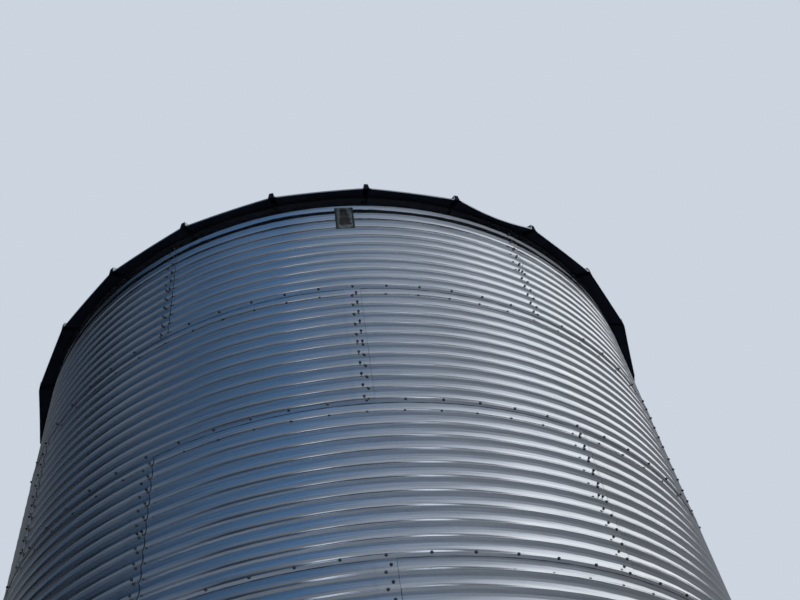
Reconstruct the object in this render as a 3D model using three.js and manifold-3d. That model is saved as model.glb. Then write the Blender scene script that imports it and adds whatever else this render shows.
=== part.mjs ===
// A round grain silo of corrugated galvanised steel, eighteen feet across: seven bolted wall rings on a base angle,
// a ribbed cone roof with its peak collar and fill cap, and a ladder up the back.
// Millimetres, +Z up. The origin is on the ground at the centre of the wall, and the front is towards -Y.
// Angles round the silo are in degrees from the front, positive towards +X.
import * as THREE from "three";
import { mergeVertices } from "three/addons/utils/BufferGeometryUtils.js";
import Module from "manifold-3d";

const wasm = await Module();
wasm.setup();

const INCH = 25.4;
const CLEARANCE = 0.3; // between pieces that touch

// Wall: sheets twelve bolt spaces long and eleven corrugations high, six to a ring
const RINGS = 7;
const SHEETS_PER_RING = 6;
const BOLTS_PER_SHEET = 12;
const BOLT_SPACING = 9.375 * INCH;
const CORRUGATIONS_PER_RING = 11;
const CORRUGATION_PITCH = 4 * INCH;
const CORRUGATION_DEPTH = 0.5 * INCH;
const SHEET_MARGIN = 0.75 * INCH; // from a sheet's last crest to its edge
const FIRST_BOLT_ANGLE = 3; // the horizontal seams' bolt nearest the front

const BOLTS_PER_RING = SHEETS_PER_RING * BOLTS_PER_SHEET;
const WALL_RADIUS = (BOLTS_PER_RING * BOLT_SPACING) / (2 * Math.PI);
const WALL_OUTSIDE = WALL_RADIUS + CORRUGATION_DEPTH / 2;
const WALL_INSIDE = WALL_RADIUS - CORRUGATION_DEPTH / 2;
const RING_HEIGHT = CORRUGATIONS_PER_RING * CORRUGATION_PITCH;
const WALL_TOP = RINGS * RING_HEIGHT + 2 * SHEET_MARGIN;

// Base angle round the foot of the wall
const ANGLE_LEG = 50;
const ANGLE_THICKNESS = 5;

// Roof: flat panels, each with a hat-shaped rib over its joint with the next
const PANELS = 24;
const ROOF_SLOPE = THREE.MathUtils.degToRad(30);
const EAVE_RADIUS = 2858; // at the ribs
const PANEL_INNER_RADIUS = 404.4;
const PANEL_THICKNESS = 4;
const RIB_HEIGHT = 54;
const RIB_BASE = 55;
const RIB_TOP = 31;
const RIB_FOOT = 12; // the flange beyond the rib that laps the next panel
const FIRST_RIB_ANGLE = 6.9;

const PANEL_ANGLE = (2 * Math.PI) / PANELS;
const EAVE_MIDDLE = EAVE_RADIUS * Math.cos(PANEL_ANGLE / 2); // to the middle of a panel's straight eave
const ROOF_RISE = EAVE_MIDDLE * Math.tan(ROOF_SLOPE); // from the eave to the roof's point
// Each panel is nearest the wall's top edge at its middle, and rests on it there.
const SEAT_DROP = ROOF_RISE * (1 - WALL_OUTSIDE / EAVE_MIDDLE);
const EAVE_HEIGHT = WALL_TOP + CLEARANCE - SEAT_DROP;
const ROOF_POINT = EAVE_HEIGHT + ROOF_RISE;

// Peak collar and its fill cap
const COLLAR_RADIUS = 400;
const COLLAR_THICKNESS = 4;
const COLLAR_SKIRT = 150; // how far the skirt runs down over the ribs, measured outwards
const COLLAR_RISE = 150; // of the neck, above the skirt
const SKIRT_GAP = 1.2; // over the rib tops, whose outer corners stand a little above their middles
const CAP_OVERHANG = 18;
const CAP_LIP = 45;
const CAP_SLOPE = THREE.MathUtils.degToRad(12);
const CAP_THICKNESS = 4;
const ROUND_SIDES = 48;

// Ladder: three sections of eight rungs, standing off the wall at the middle of a roof panel
const LADDER_ANGLE = FIRST_RIB_ANGLE + 11.5 * (360 / PANELS);
const LADDER_SECTIONS = 3;
const RUNGS_PER_SECTION = 8;
const RUNG_SPACING = 12 * INCH;
const LADDER_FOOT = 520;
const RAIL_GAP = 16 * INCH; // between the rails' centres
const RAIL_WIDTH = 50;
const RAIL_THICKNESS = 10;
const RAIL_RADIUS = 2912; // from the silo's axis to the rails' centres
const RUNG_RADIUS = 11;
const RUNG_SIDES = 8;
const BRACKETS = 5;
const BRACKET_RUNGS = 5; // from one bracket to the next
const BRACKET_HEIGHT = 40;
const BRACKET_THICKNESS = 5;
const BRACKET_FOOT = 45; // the flange that lies on the wall
const SECTION_HEIGHT = RUNGS_PER_SECTION * RUNG_SPACING;
const LADDER_TOP = LADDER_FOOT + LADDER_SECTIONS * SECTION_HEIGHT;

// Handrails on the top of the ladder
const HANDRAIL_RADIUS = 19;
const HANDRAIL_LAP = 420; // how far a handrail runs down beside its rail
const HANDRAIL_RISE = 1050; // above the ladder
const HANDRAIL_JOG = 90; // how far it steps out to pass beside the climber
const HANDRAIL_SIDES = 12;

// The small weathered plate that stands on the corrugations under the eave
const PLATE_ANGLE = 3.1;
const PLATE_WIDTH = 144;
const PLATE_FOOT = 7440;
const PLATE_HEIGHT = 273;
const PLATE_THICKNESS = 3;

const WALL_STEEL = { color: 0x9aa3ab, roughness: 0.35, metalness: 0.9 };
const ROOF_STEEL = { color: 0x8f979d, roughness: 0.42, metalness: 0.9 };
const BRACKET_STEEL = { color: 0x7c8489, roughness: 0.5, metalness: 0.85 };
const WEATHERED_PLATE = { color: 0x6b6f68, roughness: 0.75, metalness: 0.2 };

const silo = new THREE.Group();

// A named piece, added to the silo or to a group of it.
function piece(name, geometry, steel, parent = silo) {
  const mesh = new THREE.Mesh(geometry, new THREE.MeshStandardMaterial(steel));
  mesh.name = name;
  parent.add(mesh);
  return mesh;
}

// A closed outline of [radius, height] points turned round the silo's axis.
function revolved(outline, sides, startAngle = 0) {
  const points = outline.map(([radius, height]) => new THREE.Vector2(radius, height));
  const geometry = new THREE.LatheGeometry(points, sides, THREE.MathUtils.degToRad(startAngle));
  return geometry.rotateX(Math.PI / 2);
}

// A box given by its lowest and highest corners.
function boxBetween([x0, y0, z0], [x1, y1, z1]) {
  const box = new THREE.BoxGeometry(x1 - x0, y1 - y0, z1 - z0);
  return box.translate((x0 + x1) / 2, (y0 + y1) / 2, (z0 + z1) / 2);
}

function solidOf(geometry) {
  const bare = new THREE.BufferGeometry();
  bare.setAttribute("position", geometry.getAttribute("position"));
  bare.setIndex(geometry.index);
  const merged = mergeVertices(bare);
  const mesh = new wasm.Mesh({
    numProp: 3,
    vertProperties: merged.getAttribute("position").array,
    triVerts: new Uint32Array(merged.index.array),
  });
  return new wasm.Manifold(mesh);
}

function geometryOf(solid) {
  const mesh = solid.getMesh();
  const geometry = new THREE.BufferGeometry();
  geometry.setAttribute("position", new THREE.BufferAttribute(mesh.vertProperties, 3));
  geometry.setIndex(new THREE.BufferAttribute(mesh.triVerts, 1));
  return geometry;
}

function joined(geometries) {
  return geometryOf(geometries.map(solidOf).reduce((whole, next) => whole.add(next)));
}

// One wall ring, as deep through as the corrugations. Each stands on the ring below.
function wallRing(index) {
  const low = index * RING_HEIGHT;
  const high = index === RINGS - 1 ? WALL_TOP : low + RING_HEIGHT - CLEARANCE;
  const outline = [
    [WALL_INSIDE, low],
    [WALL_OUTSIDE, low],
    [WALL_OUTSIDE, high],
    [WALL_INSIDE, high],
    [WALL_INSIDE, low],
  ];
  return revolved(outline, BOLTS_PER_RING, FIRST_BOLT_ANGLE);
}

// The rolled angle outside the foot of the wall, with its flat leg out along the ground.
function baseAngle() {
  const inner = WALL_OUTSIDE + CLEARANCE;
  const outline = [
    [inner, 0],
    [inner + ANGLE_LEG, 0],
    [inner + ANGLE_LEG, ANGLE_THICKNESS],
    [inner + ANGLE_THICKNESS, ANGLE_THICKNESS],
    [inner + ANGLE_THICKNESS, ANGLE_LEG],
    [inner, ANGLE_LEG],
    [inner, 0],
  ];
  return revolved(outline, BOLTS_PER_RING, FIRST_BOLT_ANGLE);
}

// Half the panel's width from its middle to the rib line, at a share of the eave's radius.
function panelHalfWidth(share) {
  return share * EAVE_RADIUS * Math.sin(PANEL_ANGLE / 2);
}

// The panel's end at the eave, cut square: distance across from its middle, and height off the pan's underside.
function panelSection() {
  const rib = panelHalfWidth(1);
  const [base, top] = [RIB_BASE / 2, RIB_TOP / 2];
  const wall = PANEL_THICKNESS;
  const left = -rib + base + RIB_FOOT + CLEARANCE;
  const foot = rib + base + RIB_FOOT;
  return new THREE.Shape(
    [
      [left, 0],
      [rib - base + wall, 0],
      [rib - top + wall / 2, RIB_HEIGHT - wall],
      [rib + top - wall / 2, RIB_HEIGHT - wall],
      [rib + base - wall, 0],
      [foot, 0],
      [foot, wall],
      [rib + base, wall],
      [rib + top, RIB_HEIGHT],
      [rib - top, RIB_HEIGHT],
      [rib - base, wall],
      [left, wall],
    ].map(([across, height]) => new THREE.Vector2(across, height)),
  );
}

// One roof panel from the eave up to the collar. The pan narrows with the radius, and the rib keeps its width.
// The far side of the rib lies on the next panel, so it is the near side mirrored in the joint between them.
function roofPanel() {
  const geometry = new THREE.ExtrudeGeometry(panelSection(), { depth: 1, steps: 1, bevelEnabled: false });
  const position = geometry.getAttribute("position");
  const joint = new THREE.Vector2(Math.sin(PANEL_ANGLE / 2), Math.cos(PANEL_ANGLE / 2));
  for (let i = 0; i < position.count; i++) {
    const share = position.getZ(i) > 0.5 ? 1 : PANEL_INNER_RADIUS / EAVE_RADIUS;
    const width = panelHalfWidth(share);
    const atEave = position.getX(i);
    const across = atEave - Math.sign(atEave) * (panelHalfWidth(1) - width);
    const past = across > width;
    const point = new THREE.Vector2(past ? 2 * width - across : across, share * EAVE_MIDDLE);
    if (past) {
      const along = point.dot(joint);
      point.set(2 * along * joint.x - point.x, 2 * along * joint.y - point.y);
    }
    const level = ROOF_POINT - share * ROOF_RISE + position.getY(i) / Math.cos(ROOF_SLOPE);
    position.setXYZ(i, point.x, -point.y, level);
  }
  return geometry;
}

// Height of the roof pan's underside along a rib line.
function panHeight(radius) {
  return ROOF_POINT - (radius / EAVE_RADIUS) * ROOF_RISE;
}

// The rib tops' height above the pan's underside, straight up.
const RIB_LIFT = RIB_HEIGHT / Math.cos(ROOF_SLOPE);
const SKIRT_RADIUS = COLLAR_RADIUS + COLLAR_SKIRT;
const COLLAR_FOOT = panHeight(COLLAR_RADIUS);
const SKIRT_TOP = COLLAR_FOOT + RIB_LIFT + SKIRT_GAP;
const COLLAR_TOP = SKIRT_TOP + COLLAR_RISE;

// The neck that the panels' inner ends meet, with a sloped skirt over the rib ends.
function peakCollar() {
  const skirtLow = panHeight(SKIRT_RADIUS) + RIB_LIFT + SKIRT_GAP;
  const outline = [
    [COLLAR_RADIUS - COLLAR_THICKNESS, COLLAR_FOOT],
    [COLLAR_RADIUS, COLLAR_FOOT],
    [COLLAR_RADIUS, SKIRT_TOP],
    [SKIRT_RADIUS, skirtLow],
    [SKIRT_RADIUS, skirtLow + COLLAR_THICKNESS],
    [COLLAR_RADIUS, SKIRT_TOP + COLLAR_THICKNESS],
    [COLLAR_RADIUS, COLLAR_TOP],
    [COLLAR_RADIUS - COLLAR_THICKNESS, COLLAR_TOP],
    [COLLAR_RADIUS - COLLAR_THICKNESS, COLLAR_FOOT],
  ];
  return revolved(outline, ROUND_SIDES, FIRST_RIB_ANGLE);
}

// The shallow cone that closes the neck, with a lip down outside it.
function fillCap() {
  const rim = COLLAR_RADIUS + CAP_OVERHANG;
  const under = COLLAR_TOP + CLEARANCE - (CAP_OVERHANG - CAP_THICKNESS) * Math.tan(CAP_SLOPE);
  const rise = rim * Math.tan(CAP_SLOPE);
  const outline = [
    [0, under + rise],
    [rim - CAP_THICKNESS, under],
    [rim - CAP_THICKNESS, under - CAP_LIP],
    [rim, under - CAP_LIP],
    [rim, under + CAP_THICKNESS],
    [0, under + CAP_THICKNESS + rise],
  ];
  return revolved(outline, ROUND_SIDES, FIRST_RIB_ANGLE);
}

// One ladder section: two flat rails and its rungs, in the ladder's own frame with the silo's axis at y = 0.
function ladderSection(index) {
  const low = LADDER_FOOT + index * SECTION_HEIGHT;
  const high = low + SECTION_HEIGHT - (index === LADDER_SECTIONS - 1 ? 0 : CLEARANCE);
  const [near, far] = [-RAIL_RADIUS - RAIL_WIDTH / 2, -RAIL_RADIUS + RAIL_WIDTH / 2];
  const rails = [-1, 1].map((side) => {
    const middle = (side * RAIL_GAP) / 2;
    return boxBetween([middle - RAIL_THICKNESS / 2, near, low], [middle + RAIL_THICKNESS / 2, far, high]);
  });
  const rungs = Array.from({ length: RUNGS_PER_SECTION }, (_, step) => {
    const rung = new THREE.CylinderGeometry(RUNG_RADIUS, RUNG_RADIUS, RAIL_GAP + RAIL_THICKNESS, RUNG_SIDES);
    return rung.rotateZ(Math.PI / 2).translate(0, -RAIL_RADIUS, low + (step + 0.5) * RUNG_SPACING);
  });
  return joined([...rails, ...rungs]);
}

// The flat of the wall that lies nearest an angle in the ladder's frame.
function wallFlatNear(angle) {
  const flat = 360 / BOLTS_PER_RING;
  const first = FIRST_BOLT_ANGLE + flat / 2 - LADDER_ANGLE;
  return THREE.MathUtils.degToRad(first + Math.round((angle - first) / flat) * flat);
}

// A bent strap behind both rails, with a leg back to the wall at each end and a foot flat on the wall.
function ladderBracket(height) {
  const [low, high] = [height - BRACKET_HEIGHT / 2, height + BRACKET_HEIGHT / 2];
  const front = -RAIL_RADIUS + RAIL_WIDTH / 2 + CLEARANCE;
  const half = RAIL_GAP / 2 + RAIL_THICKNESS / 2;
  const footPlane = WALL_OUTSIDE * Math.cos(Math.PI / BOLTS_PER_RING) + CLEARANCE;
  const strap = boxBetween([-half, front, low], [half, front + BRACKET_THICKNESS, high]);
  const sides = [-1, 1].flatMap((side) => {
    const middle = side * (half + BRACKET_FOOT / 2 - BRACKET_THICKNESS);
    const turn = wallFlatNear(THREE.MathUtils.radToDeg(Math.asin(middle / WALL_OUTSIDE)));
    const along = (middle - footPlane * Math.sin(turn)) / Math.cos(turn);
    const foot = boxBetween(
      [along - BRACKET_FOOT / 2, -footPlane - BRACKET_THICKNESS, low],
      [along + BRACKET_FOOT / 2, -footPlane, high],
    ).rotateZ(turn);
    const legSide = side * (half - BRACKET_THICKNESS / 2);
    const legAlong = (legSide - footPlane * Math.sin(turn)) / Math.cos(turn);
    const legEnd = -(footPlane + BRACKET_THICKNESS / 2) * Math.cos(turn) + legAlong * Math.sin(turn);
    const leg = boxBetween(
      [legSide - BRACKET_THICKNESS / 2, front, low],
      [legSide + BRACKET_THICKNESS / 2, legEnd, high],
    );
    return [foot, leg];
  });
  return joined([strap, ...sides]);
}

// A tube beside the top of one rail that steps outwards and runs on above the eave.
function handrail(side) {
  const x = side * (RAIL_GAP / 2 + RAIL_THICKNESS / 2 + HANDRAIL_RADIUS + CLEARANCE);
  const out = x + side * HANDRAIL_JOG;
  const route = new THREE.CurvePath();
  const corners = [
    [x, LADDER_TOP - HANDRAIL_LAP],
    [x, LADDER_TOP],
    [out, LADDER_TOP + 2 * HANDRAIL_JOG],
    [out, LADDER_TOP + HANDRAIL_RISE],
  ].map(([across, height]) => new THREE.Vector3(across, -RAIL_RADIUS, height));
  corners.slice(1).forEach((corner, i) => route.add(new THREE.LineCurve3(corners[i], corner)));
  const section = new THREE.Shape().absarc(0, 0, HANDRAIL_RADIUS, 0, 2 * Math.PI);
  return new THREE.ExtrudeGeometry(section, {
    steps: 18,
    curveSegments: HANDRAIL_SIDES / 2,
    extrudePath: route,
  });
}

// The plate, flat across the crests of the top ring.
function wallPlate() {
  const back = WALL_OUTSIDE + CLEARANCE;
  return boxBetween(
    [-PLATE_WIDTH / 2, -back - PLATE_THICKNESS, PLATE_FOOT],
    [PLATE_WIDTH / 2, -back, PLATE_FOOT + PLATE_HEIGHT],
  );
}

for (let index = 0; index < RINGS; index++) {
  piece(`wall_ring_${index + 1}`, wallRing(index), WALL_STEEL);
}
piece("base_angle", baseAngle(), BRACKET_STEEL);
piece("wall_plate", wallPlate(), WEATHERED_PLATE).rotation.z = THREE.MathUtils.degToRad(PLATE_ANGLE);

for (let index = 0; index < PANELS; index++) {
  const turn = THREE.MathUtils.degToRad(FIRST_RIB_ANGLE) + (index + 0.5) * PANEL_ANGLE;
  const name = `roof_panel_${String(index + 1).padStart(2, "0")}`;
  piece(name, roofPanel(), ROOF_STEEL).rotation.z = turn;
}
piece("peak_collar", peakCollar(), ROOF_STEEL);
piece("fill_cap", fillCap(), ROOF_STEEL);

const ladder = new THREE.Group();
ladder.rotation.z = THREE.MathUtils.degToRad(LADDER_ANGLE);
silo.add(ladder);
for (let index = 0; index < LADDER_SECTIONS; index++) {
  piece(`ladder_section_${index + 1}`, ladderSection(index), BRACKET_STEEL, ladder);
}
for (let index = 0; index < BRACKETS; index++) {
  const height = LADDER_FOOT + (BRACKET_RUNGS * index + 2) * RUNG_SPACING;
  piece(`ladder_bracket_${index + 1}`, ladderBracket(height), BRACKET_STEEL, ladder);
}
piece("handrail_left", handrail(-1), BRACKET_STEEL, ladder);
piece("handrail_right", handrail(1), BRACKET_STEEL, ladder);

export default silo;
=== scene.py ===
"""The looks of a round grain silo of corrugated galvanised steel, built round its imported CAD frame.

Metres, +Z up. The silo's axis is at x = y = 0 and its front is towards -Y.
Angles round the silo are in degrees from the front, positive towards +X.
"""

import math

import bpy
import numpy as np
from mathutils import Matrix, Vector

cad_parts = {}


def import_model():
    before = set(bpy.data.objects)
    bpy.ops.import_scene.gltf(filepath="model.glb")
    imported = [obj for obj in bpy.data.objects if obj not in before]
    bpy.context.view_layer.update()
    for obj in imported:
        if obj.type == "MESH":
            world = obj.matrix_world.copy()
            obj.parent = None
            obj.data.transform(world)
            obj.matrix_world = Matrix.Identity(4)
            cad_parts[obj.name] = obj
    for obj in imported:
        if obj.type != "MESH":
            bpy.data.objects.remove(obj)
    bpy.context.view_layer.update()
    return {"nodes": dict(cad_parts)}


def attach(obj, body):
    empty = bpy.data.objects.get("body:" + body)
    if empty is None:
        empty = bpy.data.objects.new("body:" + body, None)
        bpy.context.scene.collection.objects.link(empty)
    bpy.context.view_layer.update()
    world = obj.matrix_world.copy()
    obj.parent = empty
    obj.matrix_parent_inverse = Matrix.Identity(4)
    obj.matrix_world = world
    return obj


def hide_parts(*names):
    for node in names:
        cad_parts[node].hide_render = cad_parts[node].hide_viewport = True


INCH = 0.0254
MM = 0.001

# Wall: the same sheets, seams and bolt spacing as the CAD
RINGS = 7
SHEETS_PER_RING = 6
BOLTS_PER_SHEET = 12
BOLT_SPACING = 9.375 * INCH
PITCH = 4 * INCH
DEPTH = 0.5 * INCH
CORRUGATIONS = 11
MARGIN = 0.75 * INCH  # from a sheet's last crest to its edge
BOLTS_PER_RING = SHEETS_PER_RING * BOLTS_PER_SHEET
WALL_RADIUS = BOLTS_PER_RING * BOLT_SPACING / math.tau
RING_HEIGHT = CORRUGATIONS * PITCH
SHEET_ANGLE = 360 / SHEETS_PER_RING
BOLT_ANGLE = 360 / BOLTS_PER_RING
FIRST_BOLT_ANGLE = 3.0
SHEET_THICKNESS = 1.1 * MM
CLEARANCE = 0.3 * MM
WALL_OUTSIDE = WALL_RADIUS + DEPTH / 2
WALL_TOP = RINGS * RING_HEIGHT + 2 * MARGIN

# Laps: each sheet's right edge lies outside its neighbour, and its foot lies outside the ring below
SIDE_LAP = 1.4 * MM
FOOT_LAP = 2.8 * MM
LAP_HALF = 1.0  # degrees from a seam's middle to each sheet's edge
SEAM_ANGLES = (33.1, 3.1)  # the seam nearest the front, on rings of even and odd index
SEAM_COLUMN = 0.335  # degrees from a seam's middle to each column of bolts
LAP_START = 3.2  # degrees before a sheet's right edge, where it starts to stand out over its neighbour
LAP_RAMP = 1.0  # degrees that it takes to do so

# Roof: the same panels, ribs and slope as the CAD
PANELS = 24
FIRST_RIB_ANGLE = 6.9
ROOF_SLOPE = math.radians(30)
PANEL_ANGLE = math.tau / PANELS
EAVE_RADIUS = 2.858  # at the ribs
EAVE_MIDDLE = EAVE_RADIUS * math.cos(PANEL_ANGLE / 2)
PANEL_INNER_RADIUS = 0.4044
PANEL_THICKNESS = 4 * MM
RIB_HEIGHT = 54 * MM
RIB_BASE = 55 * MM
RIB_TOP = 31 * MM
RIB_FOOT = 12 * MM
RIB_HALF = RIB_BASE / 2 + RIB_FOOT
ROOF_RISE = EAVE_MIDDLE * math.tan(ROOF_SLOPE)
ROOF_POINT = WALL_TOP + CLEARANCE + ROOF_RISE * WALL_OUTSIDE / EAVE_MIDDLE
LIP_DEPTH = 9 * MM  # the panels' ends, turned down at the eave
EAVE_CROWN = 11 * MM  # how far the pans stand up between their ribs at the eave
BENT_PANEL = 2  # the one whose overhang is bent down between its ribs
EAVE_BEND = math.radians(15)
BEND_RADIUS = WALL_OUTSIDE + 8 * MM  # where the overhang starts to bend
PAN_STRIPS = 9  # strips across a pan

# Peak collar and fill cap
COLLAR_RADIUS = 0.4
COLLAR_SKIRT = 0.15
COLLAR_RISE = 0.15
COLLAR_THICKNESS = 4 * MM
SKIRT_GAP = 1.2 * MM
RIB_RISE = RIB_HEIGHT / math.cos(ROOF_SLOPE)
SKIRT_TOP = ROOF_POINT - COLLAR_RADIUS / EAVE_RADIUS * ROOF_RISE + RIB_RISE + SKIRT_GAP
COLLAR_TOP = SKIRT_TOP + COLLAR_RISE
CAP_RIM = COLLAR_RADIUS + 18 * MM
CAP_LIP = 45 * MM
CAP_SLOPE = math.radians(12)

# Camera, solved from the seams and bolts of the photograph
CAMERA_PLACE = (0.0, -6.8065, 1.6264)
CAMERA_YAW = 6.365  # degrees towards +X
CAMERA_PITCH = 50.083  # degrees up
CAMERA_ROLL = -10.490
FOCAL_PIXELS = 931.31
FRAME_WIDTH_PIXELS = 800
SENSOR_WIDTH = 36.0

random = np.random.default_rng(18)


# Meshes

def mesh_object(name, vertices, faces, materials, smooth=True, tones=None, normals=None, choices=None):
    """A new object in the scene, riding on the silo.

    Each vertex may have a tone and a normal, where a normal of nought is left to the faces.
    Each face may choose one of several materials.
    """
    mesh = bpy.data.meshes.new(name)
    mesh.from_pydata(np.asarray(vertices).tolist(), [], [tuple(face) for face in faces])
    mesh.polygons.foreach_set("use_smooth", [smooth] * len(mesh.polygons))
    if tones is not None:
        mesh.attributes.new("tone", "FLOAT", "POINT").data.foreach_set("value", tones)
    for material in materials if isinstance(materials, list) else [materials]:
        mesh.materials.append(material)
    if choices is not None:
        mesh.polygons.foreach_set("material_index", choices)
    mesh.update()
    if normals is not None:
        mesh.normals_split_custom_set_from_vertices(normals)
    made = bpy.data.objects.new(name, mesh)
    bpy.context.scene.collection.objects.link(made)
    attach(made, "root")
    return made


def around(angle, radius, height):
    """Points at an angle in degrees from the front, a radius and a height."""
    turn = np.radians(angle)
    x, y, z = np.broadcast_arrays(radius * np.sin(turn), -radius * np.cos(turn), height)
    return np.stack([x, y, z], axis=-1)


def grid_faces(rows, columns, start=0, flipped=False):
    """Quads over a grid of vertices that is stored row by row."""
    corner = (np.arange(rows - 1)[:, None] * columns + np.arange(columns - 1)).ravel() + start
    quads = np.stack([corner, corner + 1, corner + columns + 1, corner + columns], axis=1)
    return quads[:, ::-1] if flipped else quads


def joined(parts):
    """Several (vertices, faces) pairs as one."""
    vertices, faces, start = [], [], 0
    for part_vertices, part_faces in parts:
        vertices.append(part_vertices)
        faces.extend(np.asarray(part_faces) + start)
        start += len(part_vertices)
    return np.concatenate(vertices), faces


def smooth_step(value):
    value = np.clip(value, 0, 1)
    return value * value * (3 - 2 * value)


# Wall sheets

CREST_SOFTNESS = 0.02  # smaller is a tighter crest
FLANK = 0.2  # how much of the way from a crest to a valley is straight
UPPER_PHASES = (0.006, 0.015, 0.03, 0.06, 0.11, 0.17, 0.25, 0.33, 0.42)
FINE_PHASES = (0, *UPPER_PHASES, 0.5, *(1 - phase for phase in reversed(UPPER_PHASES)))
COARSE_PHASES = (0, 0.25, 0.5, 0.75)
BEAD_PHASES = (0, 0.03, 0.11, 0.25, 0.5, 0.75, 0.89, 0.97)
WAVES_PER_SHEET = 4
PLAIN_COLUMNS = 19  # lines of points across a sheet, before its lap


def wall_profile(height):
    """How far the wall stands out at a height: tight crests, straight flanks and broad valleys."""
    from_crest = 2 * np.abs((np.asarray(height) - MARGIN) / PITCH - np.round((height - MARGIN) / PITCH))
    start = CREST_SOFTNESS
    eased = (np.hypot(from_crest, start) - start) / (math.hypot(1, start) - start)
    slope = 2 / (1 + FLANK)
    rounded = 1 - slope * (1 - eased) ** 2 / (2 * (1 - FLANK))
    fall = np.where(eased < FLANK, slope * eased, rounded)
    return WALL_RADIUS + DEPTH * (0.5 - fall)


def sheet_heights(low, high, phases):
    """Heights up a sheet, at some phases of each corrugation."""
    first = math.floor((low - MARGIN) / PITCH)
    count = math.ceil((high - low) / PITCH) + 2
    heights = [MARGIN + (first + turn + phase) * PITCH for turn in range(count) for phase in phases]
    inside = [height for height in heights if low + 1 * MM < height < high - 1 * MM]
    return np.array([low, *inside, high])


def wall_sheet(ring, index):
    """One sheet's outer face, its plainer inner face and its edges."""
    low = ring * RING_HEIGHT
    high = low + RING_HEIGHT + 2 * MARGIN
    left = SEAM_ANGLES[ring % 2] + index * SHEET_ANGLE - LAP_HALF
    right = left + SHEET_ANGLE + 2 * LAP_HALF
    waves = [
        (
            random.uniform(2, 9),
            random.uniform(-5, 5),
            random.uniform(0, math.tau),
            random.uniform(0.12, 0.3) * MM,
        )
        for _ in range(WAVES_PER_SHEET)
    ]

    def radius(angle, height):
        side_lap = SIDE_LAP * smooth_step((angle - right + LAP_START) / LAP_RAMP)
        above_seam = (height - low - 1.6 * MARGIN) / (0.6 * PITCH)
        foot_lap = (FOOT_LAP if ring else 0) * smooth_step(1 - above_seam)
        # A slight waviness of its own, fading out at the bolted seams
        wave = sum(
            size * np.sin(np.radians(angle) * across + height * up + phase)
            for across, up, phase, size in waves
        )
        fade = smooth_step(np.minimum(height - low, low + RING_HEIGHT - height) / (1.5 * PITCH))
        return wall_profile(height) + side_lap + foot_lap + wave * fade

    plain = np.linspace(left, right - LAP_START, PLAIN_COLUMNS)
    angles = np.array([*plain, right - 2.6, right - 2.2, right - 1.1, right])
    angle, height = np.meshgrid(angles, sheet_heights(low, high, FINE_PHASES))
    outer = radius(angle, height)
    faces_out = around(angle, outer, height)
    small_turn, small_rise = 0.01, 0.1 * MM
    sideways = around(angle + small_turn, radius(angle + small_turn, height), height) - faces_out
    upwards = around(angle, radius(angle, height + small_rise), height + small_rise) - around(
        angle, radius(angle, height - small_rise), height - small_rise
    )
    normals = np.cross(sideways, upwards)
    normals /= np.linalg.norm(normals, axis=-1, keepdims=True)
    faces_in = around(angle, outer - SHEET_THICKNESS, height)
    rows, columns = angle.shape
    coarse_angle, coarse_height = np.meshgrid(angles, sheet_heights(low, high, COARSE_PHASES))
    coarse = around(coarse_angle, radius(coarse_angle, coarse_height) - SHEET_THICKNESS, coarse_height)
    parts = [
        (faces_out.reshape(-1, 3), grid_faces(rows, columns)),
        (coarse.reshape(-1, 3), grid_faces(*coarse_angle.shape, flipped=True)),
    ]
    cut_edges = (
        (np.s_[0, :], True),
        (np.s_[-1, :], False),
        (np.s_[:, 0], False),
        (np.s_[:, -1], True),
    )
    for line, flipped in cut_edges:
        edge = np.stack([faces_out[line], faces_in[line]])
        parts.append((edge.reshape(-1, 3), grid_faces(2, edge.shape[1], flipped=flipped)))
    vertices, faces = joined(parts)
    left_to_faces = np.zeros((len(vertices) - normals[..., 0].size, 3))
    return vertices, faces, np.concatenate([normals.reshape(-1, 3), left_to_faces])


def wall_ring(ring, material):
    sheets = [wall_sheet(ring, index) for index in range(SHEETS_PER_RING)]
    tones = np.concatenate([np.full(len(sheet[0]), random.uniform(-1, 1)) for sheet in sheets])
    normals = np.concatenate([sheet[2] for sheet in sheets])
    vertices, faces = joined(sheet[:2] for sheet in sheets)
    made = mesh_object(f"wall_sheets_{ring + 1}", vertices, faces, material, tones=tones, normals=normals)
    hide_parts(f"wall_ring_{ring + 1}")
    return made


WIDE_BEAD_RINGS = 5  # from the ground up, their seams have the wider beads


def sealing_bead_and_lap_shadow(ring, material):
    """Thin uneven dark beads along the sheets' right edges and under the foot of the ring: partly sealant,
    partly painted shadow in the laps.
    """
    low = ring * RING_HEIGHT
    heights = sheet_heights(low, low + RING_HEIGHT + MARGIN, BEAD_PHASES)[:, None]
    parts = []
    for index in range(SHEETS_PER_RING):
        edge = SEAM_ANGLES[ring % 2] + index * SHEET_ANGLE + LAP_HALF + SHEET_ANGLE
        reach = random.uniform(0.2, 1.0, heights.shape) * (0.08 if ring < WIDE_BEAD_RINGS else 0.04)
        turn = edge - 0.012 + (reach + 0.012) * np.array([0, 0.5, 0.95, 1, 0, 0])
        stand_out = np.array([1.1, 1.4, 1.0, -0.5, -0.5, 1.1]) * MM
        bead = around(turn, wall_profile(heights) + stand_out, heights)
        parts.append((bead.reshape(-1, 3), grid_faces(*turn.shape)))
    if ring:
        turns = np.linspace(0, 360, 289)
        drop = random.uniform(0.8, 3.2, turns.shape)
        drop[-1] = drop[0]
        height = low + (0.2 - drop * np.array([1, 0.85, 0.4, 0, 0, 1])[:, None]) * MM
        stand_out = np.array([-0.5, 1.3, 2.1, 1.8, -0.5, -0.5])[:, None] * MM
        bead = around(turns, wall_profile(height) + stand_out, height)
        parts.append((bead.reshape(-1, 3), grid_faces(*height.shape)))
    made = mesh_object(f"sealing_bead_and_lap_shadow_{ring + 1}", *joined(parts), material)


# Bolt heads

BOLT_SIDES = 12
WASHER_RADIUS = 9.4 * MM
HEX_RADIUS = 7.0 * MM
HEX_FLAT = 6.1 * MM
WASHER_TOP = 2.4 * MM
HEAD_TOP = 7.9 * MM


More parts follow.
